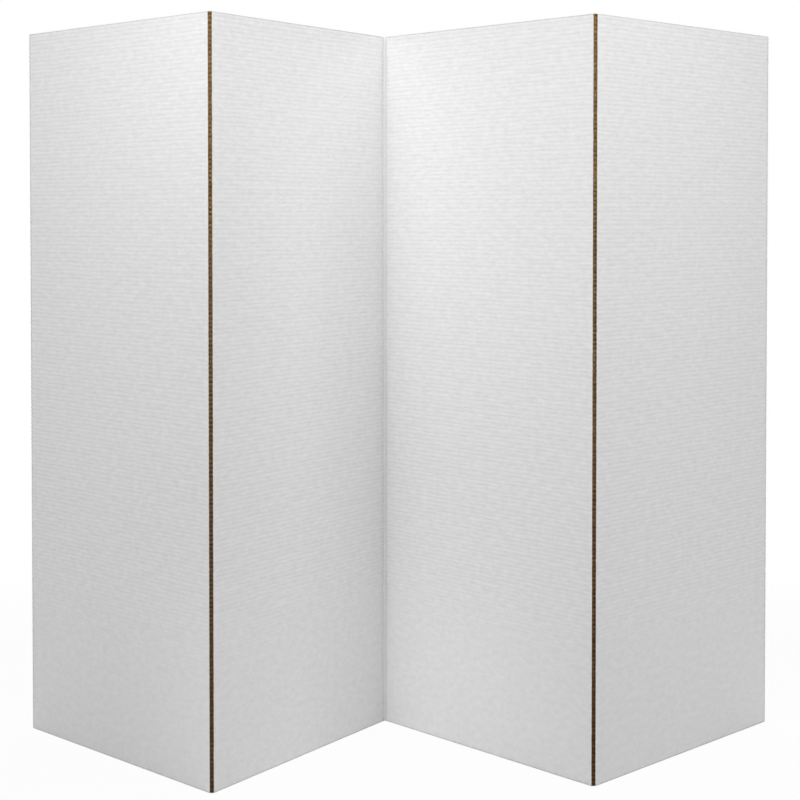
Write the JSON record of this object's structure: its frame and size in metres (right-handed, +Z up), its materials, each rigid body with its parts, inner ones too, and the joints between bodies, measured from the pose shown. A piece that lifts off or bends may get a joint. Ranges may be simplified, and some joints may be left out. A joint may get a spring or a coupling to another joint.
{
  "type": "folding screen",
  "caption": "Free-standing zigzag folding screen of white-faced corrugated board, with cut folds facing forward and a pressed centre fold.",
  "frame": {"origin": "on the floor, at the middle of the box round the screen as it stands folded", "axes": "+Z up, +X to the right as seen from the white front, which faces -Y, and +Y to the rear"},
  "size_m": [1.4616, 0.5598, 1.372],
  "materials": {
    "white_liner": "matte",
    "kraft_liner": "matte",
    "kraft_fluting": "matte",
    "crushed_core": "matte"
  },
  "bodies": {
    "left_inner_panel": {"left_inner_front_liner": "white_liner", "left_inner_fluting": "kraft_fluting", "left_inner_rear_liner": "kraft_liner", "left_fold_hinge": "kraft_liner"},
    "left_outer_panel": {"left_outer_front_liner": "white_liner", "left_outer_fluting": "kraft_fluting", "left_outer_rear_liner": "kraft_liner"},
    "centre_fold_band": {"centre_fold_front_liner": "white_liner", "centre_fold_crushed_core": "crushed_core", "centre_fold_rear_liner": "kraft_liner", "centre_fold_left_hinge": "kraft_liner", "centre_fold_right_hinge": "kraft_liner"},
    "right_inner_panel": {"right_inner_front_liner": "white_liner", "right_inner_fluting": "kraft_fluting", "right_inner_rear_liner": "kraft_liner", "right_fold_hinge": "kraft_liner"},
    "right_outer_panel": {"right_outer_front_liner": "white_liner", "right_outer_fluting": "kraft_fluting", "right_outer_rear_liner": "kraft_liner"}
  },
  "joints": [
    {"name": "left_fold", "type": "hinge", "parent": "left_inner_panel", "child": "left_outer_panel", "pos_m": [-0.33362, -0.27759, 0], "axis": [0, 0, -1], "range_deg": [-113.5, 66.5]},
    {"name": "centre_fold_left_crease", "type": "hinge", "parent": "centre_fold_band", "child": "left_inner_panel", "pos_m": [-0.03725, 0.27914, 0], "axis": [0, 0, 1], "range_deg": [-58, 32]},
    {"name": "centre_fold_right_crease", "type": "hinge", "parent": "centre_fold_band", "child": "right_inner_panel", "pos_m": [-0.02868, 0.27974, 0], "axis": [0, 0, -1], "range_deg": [-58, 32]},
    {"name": "right_fold", "type": "hinge", "parent": "right_inner_panel", "child": "right_outer_panel", "pos_m": [0.34228, -0.23033, 0], "axis": [0, 0, 1], "range_deg": [-106.5, 73.5]}
  ],
  "couplings": [
    {"joint": "centre_fold_right_crease", "follows": "centre_fold_left_crease", "ratio": 1}
  ]
}
